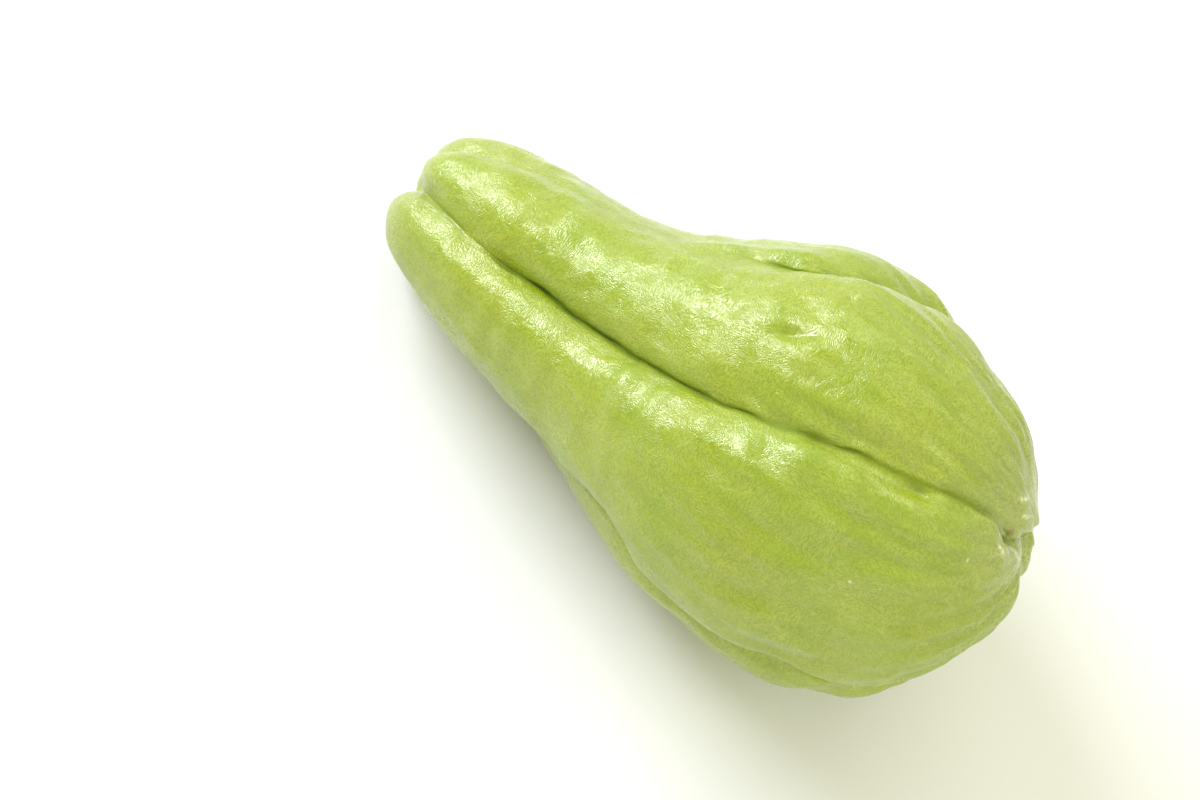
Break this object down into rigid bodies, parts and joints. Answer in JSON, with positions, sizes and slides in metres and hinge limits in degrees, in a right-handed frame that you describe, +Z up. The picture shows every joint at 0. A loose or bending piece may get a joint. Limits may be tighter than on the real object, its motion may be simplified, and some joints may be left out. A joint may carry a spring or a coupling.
{
  "type": "chayote squash",
  "caption": "Pear-shaped chayote squash lying on its side, with deep lengthwise furrows between rounded lobes, a stem scar at the neck and a puckered blossom end.",
  "frame": {"origin": "middle of the outline seen from above, on the plane the fruit lies on", "axes": "+X along the fruit from the stem end to the blossom end, +Z up, +Y across"},
  "size_m": [0.141, 0.08, 0.0708],
  "materials": {
    "skin": "satin pale green skin with fine wrinkles"
  },
  "bodies": {
    "root": {"chayote_fruit": "skin"}
  },
  "joints": []
}
